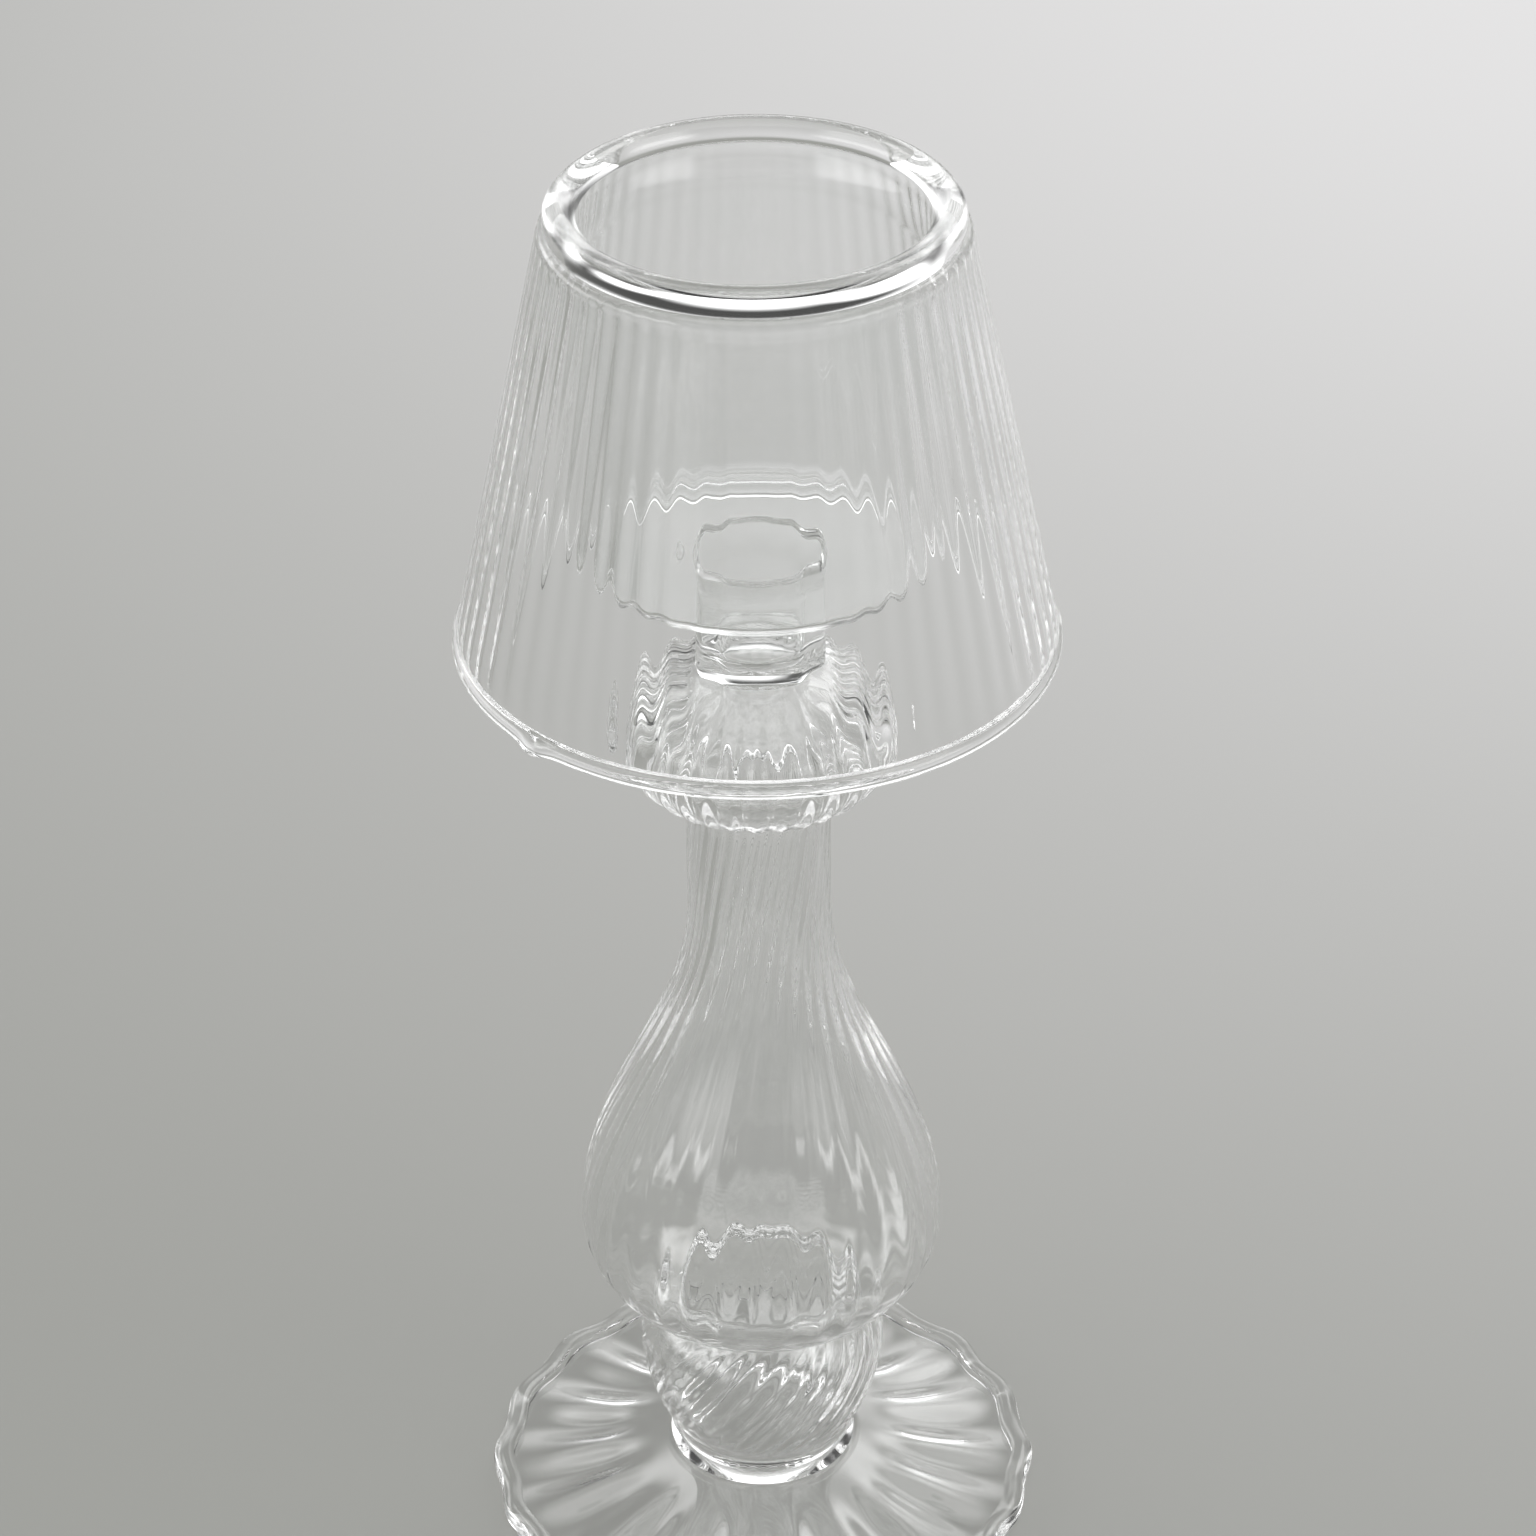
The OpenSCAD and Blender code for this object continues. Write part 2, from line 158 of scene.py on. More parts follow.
class CupSizes(PropertyGroup):
    """Sizes of the candle cup and the rolled lip."""
    bore: length("Bore", "Radius of the cup's bore", 0.0225)
    wall: length("Wall", "Thickness of the cup", 0.0018)
    floor: length("Floor", "Thickness of the cup's floor", 0.0012)
    corner: length("Corner", "Outside radius of the cup's bottom corner", 0.0024)
    flare: length("Flare", "Height over which the cup flares out to the lip", 0.006)
    lip_bead: length("Lip bead", "Radius of the rolled lip's section", 0.0023)
    lip_sink: length("Lip sink", "Height of the bead's centre above its seat", 0.0013)
    lip_seat: length("Lip seat", "Distance of the bead's centre from the seat under it", 0.0009)
    lip_tilt: turn("Lip tilt", "How far the seat falls outwards", 14)
    lip_gap: length("Lip gap", "Hair of air under the lip, which shows as its lower line", 0.00003)
    crevice: length("Crevice", "Gap between the cup and the shade under the lip", 0.0004)


class ShadeSizes(PropertyGroup):
    """Sizes of the ribbed shade and the bead round its edge."""
    ribs: count("Ribs", "Number of ribs round the shade", 60)
    rib_depth: length("Rib depth", "Depth of a rib, half of what it stands out", 0.00007)
    rib_inside: share("Inside ribs", "Depth of the ribs inside, as a share of those outside", 1.0)
    rib_start: turn("Rib start", "Place of the first rib round the shade, from +X", 4.2)
    fade: length("Rib fade", "Height over which ribs die out at a seam", 0.003)
    base: length("Base", "Radius at the bottom, without the ribs", 0.0422)
    wall: length("Wall", "Thickness of the shade", 0.0015)
    top: length("Top", "Radius under the shoulder", 0.0294)
    shoulder: length("Shoulder", "Height of the rounded shoulder", 0.0018)
    bead: length("Edge bead", "Radius of the bead round the bottom edge", 0.0014)
    drop: length("Drop", "How far the drop stands out from the bead", 0.0013)
    drop_width: length("Drop width", "Half width of the drop along the bead", 0.0022)
    drop_place: turn("Drop place", "Place of the drop round the shade, from +X", 224)


class GlassLook(PropertyGroup):
    """Colours and finish of the glass."""
    clear: colour("Clear", "Tint of the glass where it is clean", (0.994, 0.996, 0.995))
    ior: share("IOR", "Refractive index of borosilicate glass", 1.473)


class StageLook(PropertyGroup):
    """Camera, table and lamps."""
    lens: length("Lens", "Focal length for a 36 mm wide sensor", 0.10617)
    sensor: length("Sensor", "Width of the sensor", 0.036)
    distance: length("Distance", "From the lens to the point it looks at", 0.64856)
    aim: length("Aim", "Height of the point that the lens looks at", 0.13029)
    elevation: turn("Elevation", "Height of the camera above the horizon", 32.649)
    roll: turn("Roll", "Turn of the camera about its own line of sight", -0.394)
    shift: share("Shift", "Sideways shift of the frame", 0.00629)
    floor_radius: length("Floor radius", "Radius of the table top", 12.0)
    floor_gap: length("Floor gap", "Hair of air under the ground foot", 0.0002)
    pool_x: length("Pool X", "Place of the light pool on the table", 0.40)
    pool_y: length("Pool Y", "Place of the light pool on the table", 0.70)
    pool_inside: length("Pool inside", "Radius within which the pool is lightest", 0.15)
    pool_outside: length("Pool outside", "Radius past which the table is darkest", 0.95)
    wall_level: share("Wall level", "Level of the studio's walls", 0.06)
    ceiling_level: share("Ceiling level", "Level of the ceiling", 1.9)
    ceiling_start: turn("Ceiling start", "Elevation at which the ceiling starts", 60)
    soft_edge: turn("Soft edge", "Half width of the soft edges of the windows and the ceiling", 8)
    # Painted light: the table is painted light grey in a pool of light behind the holder and dark grey,
    # as painted shade, away from it.
    painted_pool_grey: colour("Light grey", "Table where it is lightest", (0.785, 0.780, 0.782))
    painted_shade_grey: colour("Dark grey", "Table where it is darkest", (0.345, 0.348, 0.328))


def settings():
    """The scene's sizes and colours."""
    return bpy.context.scene.tea_light_holder


def to_object_mode():
    """Leaves edit mode, with nothing selected."""
    if bpy.context.object and bpy.context.object.mode != "OBJECT":
        bpy.ops.object.mode_set(mode="OBJECT")
    bpy.ops.object.select_all(action="DESELECT")


def draw_section(name, points, closed):
    """Draws a section in the XZ plane as a path of straight pieces, and makes it a mesh.

    Each point is (radius, height, rib), and rib goes into a vertex group that the spin carries round.
    """
    to_object_mode()
    bpy.ops.curve.primitive_nurbs_path_add(location=(0, 0, 0))
    piece = bpy.context.object
    piece.data.splines.clear()
    path = piece.data.splines.new("POLY")
    path.points.add(len(points) - 1)
    for point, (radius, height, _) in zip(path.points, points):
        point.co = (radius, 0.0, height, 1.0)
    path.use_cyclic_u = closed
    bpy.ops.object.convert(target="MESH")
    piece = bpy.context.object
    piece.name = piece.data.name = name
    ribs = piece.vertex_groups.new(name=RIB_GROUP)
    for i, point in enumerate(points):
        ribs.add([i], point[2], "REPLACE")
    return piece


def enclosed_volume(piece):
    """Volume inside a piece's faces: under zero when they face inwards."""
    mesh = piece.data
    centres = np.empty(len(mesh.polygons) * 3)
    normals = np.empty(len(mesh.polygons) * 3)
    areas = np.empty(len(mesh.polygons))
    mesh.polygons.foreach_get("center", centres)
    mesh.polygons.foreach_get("normal", normals)
    mesh.polygons.foreach_get("area", areas)
    return float(((centres * normals).reshape(-1, 3).sum(axis=1) * areas).sum() / 3)


def spin(piece, steps):
    """Turns a section round the axis, closes the seam and any poles, and turns the faces outwards."""
    turned = piece.modifiers.new("Turned", "SCREW")
    turned.angle = WHOLE_TURN
    turned.steps = turned.render_steps = steps
    bpy.ops.object.modifier_apply(modifier=turned.name)
    bpy.ops.object.mode_set(mode="EDIT")
    bpy.ops.mesh.select_all(action="SELECT")
    bpy.ops.mesh.remove_doubles(threshold=SAME_POINT)
    bpy.ops.mesh.normals_make_consistent(inside=False)
    bpy.ops.object.mode_set(mode="OBJECT")
    if enclosed_volume(piece) < 0:
        bpy.ops.object.mode_set(mode="EDIT")
        bpy.ops.mesh.flip_normals()
        bpy.ops.object.mode_set(mode="OBJECT")


def group_weights(piece, name):
    """Weight of each vertex in a group, as an array."""
    index = piece.vertex_groups[name].index
    weights = np.zeros(len(piece.data.vertices))
    for vertex in piece.data.vertices:
        for entry in vertex.groups:
            if entry.group == index:
                weights[vertex.index] = entry.weight
    return weights


def read_points(piece):
    """Places of a piece's vertices, one row each."""
    flat = np.empty(len(piece.data.vertices) * 3)
    piece.data.vertices.foreach_get("co", flat)
    return flat.reshape(-1, 3)


def write_points(piece, points):
    """Moves a piece's vertices."""
    piece.data.vertices.foreach_set("co", points.ravel())
    piece.data.update()


def uneven(angle, amount):
    """Slow, smooth unevenness round a hand-worked piece, from -amount to amount."""
    return amount * (np.sin(3 * angle + 0.7) + np.sin(7 * angle + 2.1) + np.sin(11 * angle)) / 3


def press_ribs(piece, ribs, depth, turns=None, full_at=None):
    """Presses ribs into the wall where the rib group says, and turns them about the axis.

    The ribs are full at the radius full_at. A tube that is blown wider has shallower ribs.
    """
    points = read_points(piece)
    weight = group_weights(piece, RIB_GROUP)
    radius = np.hypot(points[:, 0], points[:, 1])
    angle = np.arctan2(points[:, 1], points[:, 0])
    wave = np.cos(ribs * angle + uneven(angle, 0.6)) * (1 + uneven(angle, 0.25))
    if full_at:
        weight = weight * full_at / np.maximum(radius, full_at)
    radius = radius + depth * weight * (wave - 1)
    if turns is not None:
        heights, angles = turns
        angle = angle + np.interp(points[:, 2], heights, angles)
    points[:, 0] = radius * np.cos(angle)
    points[:, 1] = radius * np.sin(angle)
    write_points(piece, points)


def rib_turns(outline, whole):
    """Heights, and the ribs' turn at each: a thin part of a tube twists more than a thick one."""
    heights = np.array([p[1] for p in outline])
    radii = np.array([p[0] for p in outline])
    rates = np.diff(heights) / ((radii[1:] + radii[:-1]) / 2) ** 2
    sums = np.concatenate([[0], np.cumsum(rates)])
    return heights, whole * sums / sums[-1]


def mark_joints(piece, joints):
    """Gives the faces where a piece is fused to its neighbours the joint's material.

    Each joint is (low height, high height, inner radius, outer radius): flat, or upright.
    """
    mesh = piece.data
    centres = np.empty(len(mesh.polygons) * 3)
    mesh.polygons.foreach_get("center", centres)
    centres = centres.reshape(-1, 3)
    radius = np.hypot(centres[:, 0], centres[:, 1])
    index = np.zeros(len(mesh.polygons), dtype=np.int32)
    for low, high, inner, outer in joints:
        level = (centres[:, 2] > low - SAME_PLACE) & (centres[:, 2] < high + SAME_PLACE)
        index[level & (radius > inner - SAME_PLACE) & (radius < outer + SAME_PLACE)] = 1
    mesh.polygons.foreach_set("material_index", index)


def finish_piece(piece, node, glass):
    """Shades a piece, gives it its glass, and seats it in the frame in place of its CAD node."""
    to_object_mode()
    piece.select_set(True)
    bpy.context.view_layer.objects.active = piece
    bpy.ops.object.shade_smooth_by_angle(angle=math.radians(40))
    to_object_mode()
    piece.vertex_groups.clear()
    piece.data.materials.append(glass)
    piece.data.materials.append(fused_joint())
    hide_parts(node)
    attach(piece, BODY)


def rib_fade(z, low, high, low_fade, high_fade):
    """1 between two seams, falling smoothly to 0 at each."""
    t = max(0.0, min(1.0, (z - low) / low_fade, (high - z) / high_fade))
    return t * t * (3 - 2 * t)


def half_angle(mid, end):
    """Angle of an ellipse's arc from its widest place to where it meets a seam."""
    return math.acos(end / mid)


def rising_arc(mid, end, height, steps):
    """Lower half of a swelling, from its seam to its widest place, as (radius, height)."""
    whole = half_angle(mid, end)
    axis = height / math.sin(whole)
    angles = [whole * (1 - i / steps) for i in range(steps + 1)]
    return [(mid * math.cos(a), height - axis * math.sin(a)) for a in angles]


def falling_arc(mid, end, height, steps):
    """Upper half of a swelling, from just above its widest place to its seam."""
    whole = half_angle(mid, end)
    axis = height / math.sin(whole)
    angles = [whole * i / steps for i in range(1, steps + 1)]
    return [(mid * math.cos(a), axis * math.sin(a)) for a in angles]


def inner_radius(mid, end, height, wall, bore, y):
    """Radius inside a swelling, at a height from its widest place, never under the tube's bore."""
    axis = height / math.sin(half_angle(mid, end)) - wall
    return max(bore, (mid - wall) * math.sqrt(max(0.0, 1 - (y / axis) ** 2)))


def spread(low, high, steps):
    """Even steps from low to high."""
    return [low + (high - low) * i / steps for i in range(steps + 1)]


def blown_piece(name, outside, inside, fades, steps, ribbed_inside=0.0):
    """A blown piece: inside runs down from the high seam, outside comes back up.

    The ribs fade out over the two heights in fades, at the low and the high seam. They are as deep
    on the inside as ribbed_inside says, as a share of the outside's. A piece that is closed at its
    top starts and ends on the axis.
    """
    low, high = outside[0][1], outside[-1][1]
    section = [(r, z, ribbed_inside * rib_fade(z, low, high, *fades)) for r, z in inside]
    section += [(r, z, rib_fade(z, low, high, *fades)) for r, z in outside]
    piece = draw_section(name, section, closed=inside[0][0] > 0)
    spin(piece, steps)
    return piece


def new_material(name):
    """An empty node material."""
    material = bpy.data.materials.new(name)
    material.use_nodes = True
    material.node_tree.nodes.clear()
    return material


def hand_worked_group():
    """Node group: the ripple, film and tint of hand-worked glass, from a place on the piece."""
    name = "Hand worked glass"
    if name in bpy.data.node_groups:
        return bpy.data.node_groups[name]
    group = bpy.data.node_groups.new(name, "ShaderNodeTree")
    for socket, kind in (("Place", "NodeSocketVector"), ("Ripple Scale", "NodeSocketFloat"),
                         ("Film", "NodeSocketFloat"), ("Clean", "NodeSocketColor")):
        group.interface.new_socket(socket, in_out="INPUT", socket_type=kind)
    for socket, kind in (("Height", "NodeSocketFloat"), ("Roughness", "NodeSocketFloat"),
                         ("Tint", "NodeSocketColor")):
        group.interface.new_socket(socket, in_out="OUTPUT", socket_type=kind)
    nodes, links = group.nodes, group.links
    entry = nodes.new("NodeGroupInput")
    leave = nodes.new("NodeGroupOutput")
    ripple = nodes.new("ShaderNodeTexNoise")
    ripple.inputs["Detail"].default_value = 1.5
    links.new(entry.outputs["Place"], ripple.inputs["Vector"])
    links.new(entry.outputs["Ripple Scale"], ripple.inputs["Scale"])
    links.new(ripple.outputs["Fac"], leave.inputs["Height"])
    film = nodes.new("ShaderNodeTexNoise")
    film.inputs["Scale"].default_value = 55.0
    film.inputs["Detail"].default_value = 5.0
    links.new(entry.outputs["Place"], film.inputs["Vector"])
    smear = nodes.new("ShaderNodeMapRange")
    smear.inputs["From Min"].default_value = 0.5
    smear.inputs["From Max"].default_value = 0.75
    links.new(film.outputs["Fac"], smear.inputs["Value"])
    scaled = nodes.new("ShaderNodeMath")
    scaled.operation = "MULTIPLY"
    links.new(smear.outputs["Result"], scaled.inputs[0])
    links.new(entry.outputs["Film"], scaled.inputs[1])
    links.new(scaled.outputs["Value"], leave.inputs["Roughness"])
    tint = nodes.new("ShaderNodeMix")
    tint.data_type = "RGBA"
    tint.blend_type = "MULTIPLY"
    tint.inputs["B"].default_value = (0.98, 0.985, 0.983, 1.0)
    links.new(smear.outputs["Result"], tint.inputs["Factor"])
    links.new(entry.outputs["Clean"], tint.inputs["A"])
    links.new(tint.outputs["Result"], leave.inputs["Tint"])
    return group


def glass_material(name, ripple_scale, ripple_height, film):
    """Clear glass with its own ripple and film."""
    if name in bpy.data.materials:
        return bpy.data.materials[name]
    look = settings().glass
    material = new_material(name)
    nodes, links = material.node_tree.nodes, material.node_tree.links
    place = nodes.new("ShaderNodeTexCoord")
    worked = nodes.new("ShaderNodeGroup")
    worked.node_tree = hand_worked_group()
    worked.inputs["Ripple Scale"].default_value = ripple_scale
    worked.inputs["Film"].default_value = film
    worked.inputs["Clean"].default_value = (*look.clear, 1.0)
    bump = nodes.new("ShaderNodeBump")
    bump.inputs["Strength"].default_value = 1.0
    bump.inputs["Distance"].default_value = ripple_height
    glass = nodes.new("ShaderNodeBsdfPrincipled")
    glass.inputs["Transmission Weight"].default_value = 1.0
    glass.inputs["IOR"].default_value = look.ior
    output = nodes.new("ShaderNodeOutputMaterial")
    links.new(place.outputs["Object"], worked.inputs["Place"])
    links.new(worked.outputs["Height"], bump.inputs["Height"])
    links.new(worked.outputs["Tint"], glass.inputs["Base Color"])
    links.new(worked.outputs["Roughness"], glass.inputs["Roughness"])
    links.new(bump.outputs["Normal"], glass.inputs["Normal"])
    links.new(glass.outputs["BSDF"], output.inputs["Surface"])
    return material


def fused_joint():
    """Where two pieces are fused there is no surface to see: light goes straight on."""
    name = "Fused joint"
    if name in bpy.data.materials:
        return bpy.data.materials[name]
    material = new_material(name)
    nodes, links = material.node_tree.nodes, material.node_tree.links
    clear = nodes.new("ShaderNodeBsdfPrincipled")
    clear.inputs["Alpha"].default_value = 0.0
    output = nodes.new("ShaderNodeOutputMaterial")
    links.new(clear.outputs["BSDF"], output.inputs["Surface"])
    return material


def pressed_glass():
    """Thick pressed glass of the foot."""
    return glass_material("Pressed foot glass", 60.0, 0.00010, 0.02)


def blown_glass():
    """Thin blown glass of the baluster."""
    return glass_material("Blown tube glass", 40.0, 0.00010, 0.01)


def drawn_glass():
    """Drawn glass of the shade and the cup."""
    return glass_material("Drawn shade glass", 30.0, 0.00004, 0.008)


def polished_glass():
    """Fire-polished glass of the rolled lip and the edge bead."""
    return glass_material("Fire polished glass", 50.0, 0.00003, 0.004)


def skirt_height(s, centre, edge, fall):
    """Height of the foot's top face, from its centre at s = 0 to its edge at s = 1."""
    return edge + (centre - edge) * (1 - s) ** fall


def flute_foot(piece, inner, outer, sizes):
    """Lifts the flutes of the foot, and scallops its rim."""
    points = read_points(piece)
    radius = np.hypot(points[:, 0], points[:, 1])
    angle = np.arctan2(points[:, 1], points[:, 0])
    s = np.clip((radius - inner) / (outer - inner), 0, 1)
    wave = np.cos(sizes.flutes * angle + uneven(angle, 0.35))
    start = np.clip(s / sizes.flute_start, 0, 1)
    wave = wave * start * start * (3 - 2 * start)
    points[:, 2] += sizes.flute_depth * np.sin(sizes.flute_sweep * s) * wave
    scale = 1 + sizes.scallop * s * wave / np.maximum(radius, inner)
    points[:, 0] *= scale
    points[:, 1] *= scale
    write_points(piece, points)


class GlassOperator:
    """What the operators of all glass pieces share."""
    bl_options = {"REGISTER", "UNDO"}


class HOLDER_OT_foot_rim(GlassOperator, Operator):
    """Add the rolled, scalloped rim of the foot"""
    bl_idname = "tea_light_holder.foot_rim"
    bl_label = "Foot rim"

    def execute(self, context):
        foot = settings().foot
        lift = foot.flute_depth * math.sin(foot.flute_sweep)
        centre = reach("foot_rim") - foot.scallop - foot.rim_bead
        height = high_z("foot_rim") - foot.rim_bead - lift
        seat = centre - foot.rim_seat
        half_wall = foot.wall / 2
        sweep = math.acos(-foot.rim_seat / foot.rim_bead)
        section = [(seat, height + half_wall, 0.0), (seat, height - half_wall, 0.0)]
        for angle in spread(-sweep, sweep, 48):
            section.append((centre + foot.rim_bead * math.cos(angle),
                            height + foot.rim_bead * math.sin(angle), 0.0))
        piece = draw_section("foot_rim_glass", section, closed=True)
        spin(piece, foot.flutes * 24)
        mark_joints(piece, [(height - half_wall, height + half_wall, seat, seat)])
        skirt_start = reach("seal_ring") + 0.000375
        flute_foot(piece, skirt_start, seat, foot)
        points = read_points(piece)
        points[:, 2] = np.maximum(points[:, 2], low_z("foot_rim"))
        write_points(piece, points)
        finish_piece(piece, "foot_rim", pressed_glass())
        return {"FINISHED"}


class HOLDER_OT_foot_disc(GlassOperator, Operator):
    """Add the fluted skirt of the foot"""
    bl_idname = "tea_light_holder.foot_disc"
    bl_label = "Foot disc"

    def execute(self, context):
        foot = settings().foot
        tube = settings().baluster
        lift = foot.flute_depth * math.sin(foot.flute_sweep)
        edge = reach("foot_rim") - foot.scallop - foot.rim_bead - foot.rim_seat
        rim_height = high_z("foot_rim") - foot.rim_bead - lift
        top = high_z("foot_disc")
        edge_top = rim_height + foot.wall / 2
        seal_out = reach("seal_ring")
        seal_in = foot.seal_land - tube.wall
        start = seal_out + 0.000375
        over = [(start + (edge - start) * s, skirt_height(s, top, edge_top, foot.skirt_fall), 0.0)
                for s in spread(0, 1, 48)]
        under = [(r, z - foot.wall, 0.0) for r, z, _ in reversed(over)]
        section = [(0.0, top, 0.0), (seal_in, top, 0.0), (seal_out, top, 0.0)] + over + under
        section += [(0.0, top - foot.wall, 0.0)]
        piece = draw_section("foot_disc_glass", section, closed=False)
        spin(piece, foot.flutes * 24)
        mark_joints(piece, [(top, top, seal_in, seal_out),
                            (edge_top - foot.wall, edge_top, edge, edge)])
        flute_foot(piece, start, edge, foot)
        finish_piece(piece, "foot_disc", pressed_glass())
        return {"FINISHED"}


class HOLDER_OT_seal_ring(GlassOperator, Operator):
    """Add the bead that seals the baluster to the foot"""
    bl_idname = "tea_light_holder.seal_ring"
    bl_label = "Seal ring"

    def execute(self, context):
        foot = settings().foot
        tube = settings().baluster
        low, high = low_z("seal_ring"), high_z("seal_ring")
        bore = foot.seal_land - tube.wall
        lap = reach("seal_ring") - foot.seal_land
        section = [(bore, high, 0.0), (bore, low, 0.0)]
        for angle in spread(0, math.pi / 2, 24):
            section.append((foot.seal_land + lap * math.cos(angle),
                            low + (high - low) * math.sin(angle), 0.0))
        piece = draw_section("seal_ring_glass", section, closed=True)
        spin(piece, 256)
        mark_joints(piece, [(low, low, bore, reach("seal_ring")),
                            (high, high, bore, foot.seal_land)])
        finish_piece(piece, "seal_ring", blown_glass())
        return {"FINISHED"}


class HOLDER_OT_lower_bulb(GlassOperator, Operator):
    """Add the squashed bulb at the bottom of the baluster"""
    bl_idname = "tea_light_holder.lower_bulb"
    bl_label = "Lower bulb"

    def execute(self, context):
        tube = settings().baluster
        base = settings().foot.seal_land
        low, high, mid = low_z("lower_bulb"), high_z("lower_bulb"), reach("lower_bulb")
        rise = tube.bulb_mid
        fall = high - low - rise
        outside = [(r, low + y) for r, y in rising_arc(mid, base, rise, 32)]
        outside += [(r, low + rise + y) for r, y in falling_arc(mid, tube.waist, fall, 24)]
        inside = []
        for y in spread(fall, -rise, 56):
            end, height = (tube.waist, fall) if y > 0 else (base, rise)
            inside.append((inner_radius(mid, end, height, tube.wall, end - tube.wall, y),
                           low + rise + y))
        piece = blown_piece("lower_bulb_glass", outside, inside, (tube.bulb_smooth, tube.fade),
                            tube.ribs * 16)
        press_ribs(piece, tube.ribs, tube.rib_depth, rib_turns(outside, tube.bulb_turn),
                   tube.neck)
        mark_joints(piece, [(low, low, base - tube.wall, base),
                            (high, high, tube.waist - tube.wall, tube.waist)])
        finish_piece(piece, "lower_bulb", blown_glass())
        return {"FINISHED"}


class HOLDER_OT_pear_body(GlassOperator, Operator):
    """Add the pear-shaped belly that runs up into the neck"""
    bl_idname = "tea_light_holder.pear_body"
    bl_label = "Pear and neck"

    def execute(self, context):
        tube = settings().baluster
        low, high, mid = low_z("pear_body"), high_z("pear_body"), reach("pear_body")
        rise = tube.pear_mid
        widest = low + rise

        def shoulder_radius(y):
            t = min(1.0, y / tube.shoulder)
            return tube.neck + (mid - tube.neck) * (1 + math.cos(math.pi * t)) / 2

        outside = [(r, low + y) for r, y in rising_arc(mid, tube.waist, rise, 32)]
        outside += [(shoulder_radius(y), widest + y)
                    for y in spread(0, high - widest, 72)[1:]]
        inside = [(shoulder_radius(y) - tube.wall, widest + y)
                  for y in spread(high - widest, 0, 48)]
        inside += [(inner_radius(mid, tube.waist, rise, tube.wall, tube.waist - tube.wall, y),
                    widest + y) for y in spread(0, -rise, 32)[1:]]
        piece = blown_piece("pear_body_glass", outside, inside, (tube.belly_smooth, tube.fade),
                            tube.ribs * 16)
        press_ribs(piece, tube.ribs, tube.rib_depth, rib_turns(outside, tube.pear_turn),
                   tube.neck)
        mark_joints(piece, [(low, low, tube.waist - tube.wall, tube.waist),
                            (high, high, tube.neck - tube.wall, tube.neck)])
        finish_piece(piece, "pear_body", blown_glass())
        return {"FINISHED"}


class HOLDER_OT_knob(GlassOperator, Operator):
    """Add the flattened thick-walled knob, closed at its top"""
    bl_idname = "tea_light_holder.knob"
    bl_label = "Knob"

    def execute(self, context):
        tube = settings().baluster
        sizes = settings().knob
        low, high, mid = low_z("knob"), high_z("knob"), reach("knob")
        stem = reach("stem") - sizes.stem_swell
        rise, fall = sizes.mid, high - low - sizes.mid
        outside = [(r, low + y) for r, y in rising_arc(mid, tube.neck, rise, 28)]
        outside += [(r, low + rise + y) for r, y in falling_arc(mid, stem, fall, 28)]
        outside += [(0.0, high)]
        roof = fall / math.sin(half_angle(mid, stem)) - sizes.wall
        bore = tube.neck - tube.wall
        inside = [((mid - sizes.wall) * math.sin(a), low + rise + roof * math.cos(a))
                  for a in spread(0, math.pi / 2, 40)]
        inside += [(inner_radius(mid, tube.neck, rise, sizes.wall, bore, y), low + rise + y)
                   for y in spread(0, -rise, 28)[1:]]
        piece = blown_piece("knob_glass", outside, inside, (tube.fade, tube.fade),
                            tube.ribs * 16)
        press_ribs(piece, tube.ribs, sizes.rib_depth)
        mark_joints(piece, [(low, low, bore, tube.neck), (high, high, 0.0, stem)])
        finish_piece(piece, "knob", blown_glass())
        return {"FINISHED"}


class HOLDER_OT_stem(GlassOperator, Operator):
    """Add the hollow stem under the cup, closed at its bottom and swollen at its top"""
    bl_idname = "tea_light_holder.stem"
    bl_label = "Stem"

    def execute(self, context):
        sizes = settings().knob
        low, high, top_out = low_z("stem"), high_z("stem"), reach("stem")
        top_in = top_out - sizes.stem_wall
        outer, bore = top_out - sizes.stem_swell, top_in - sizes.stem_swell
        swell_z = high - sizes.swell_height
        floor_z = low + sizes.stem_floor
        corner = bore / 2
        section = [(0.0, low)] + [(outer, z) for z in spread(low, swell_z, 16)[:-1]]
        section += [(flare(outer, top_out, t), swell_z + sizes.swell_height * t)
                    for t in spread(0, 1, 24)]
        section += [(flare(bore, top_in, t), swell_z + sizes.swell_height * t)
                    for t in spread(1, 0, 24)]
        section += [(bore, z) for z in spread(swell_z, floor_z + corner, 12)[1:-1]]
        section += [(bore - corner * (1 - math.cos(a)), floor_z + corner * (1 - math.sin(a)))
                    for a in spread(0, math.pi / 2, 16)]
        section += [(0.0, floor_z)]
        piece = draw_section("stem_glass", [(r, z, 0.0) for r, z in section], closed=False)
        spin(piece, 256)
        mark_joints(piece, [(low, low, 0.0, outer), (high, high, top_in, top_out)])
        finish_piece(piece, "stem", blown_glass())
        return {"FINISHED"}


def lip_middle():
    """Radius of the rolled lip, to the centre of its bead."""
    return reach("rolled_lip") - settings().cup.lip_bead


def lip_height():
    """Height of the centre of the lip's bead."""
    return low_z("rolled_lip") + settings().cup.lip_sink


def lip_ends():
    """Angles round the bead at which its round face ends: outside the seat, and inside."""
    cup = settings().cup
    half = math.asin(cup.lip_seat / cup.lip_bead)
    return -half - cup.lip_tilt, math.pi + half - cup.lip_tilt


def lip_seats():
    """Radii where the lip's underside starts, is parted by the crevice, and ends."""
    cup = settings().cup
    outside, inside = lip_ends()
    middle = lip_middle()
    half_gap = cup.crevice / 2
    return (middle + cup.lip_bead * math.cos(inside), middle - half_gap, middle + half_gap,
            middle + cup.lip_bead * math.cos(outside))


